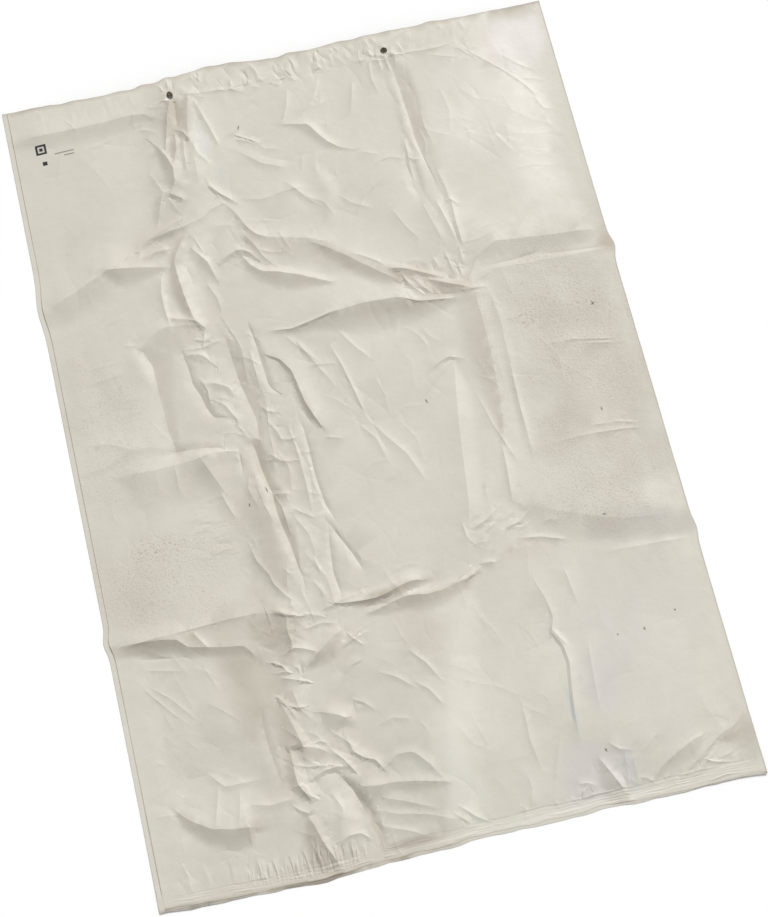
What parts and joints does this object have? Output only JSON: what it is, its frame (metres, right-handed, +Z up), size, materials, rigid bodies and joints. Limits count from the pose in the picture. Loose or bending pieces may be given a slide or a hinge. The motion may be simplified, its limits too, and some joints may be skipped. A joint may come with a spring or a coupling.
{
  "type": "tire storage bag",
  "caption": "Flat side-gusseted film bag for storing a tire, sealed across the bottom, open at the mouth, with punched hanging holes, lying creased as it comes out of its pack.",
  "frame": {"origin": "centre of the flat bag on the surface that it lies on", "axes": "+X across the bag, +Y along the bag towards its open mouth, +Z up through the film layers"},
  "size_m": [0.7782, 1.1509, 0.0169],
  "materials": {
    "film": "warm off-white polyethylene film with a low satin sheen, creased along old packing folds and finely soiled in places"
  },
  "bodies": {
    "root": {"bag": "film"}
  },
  "joints": []
}
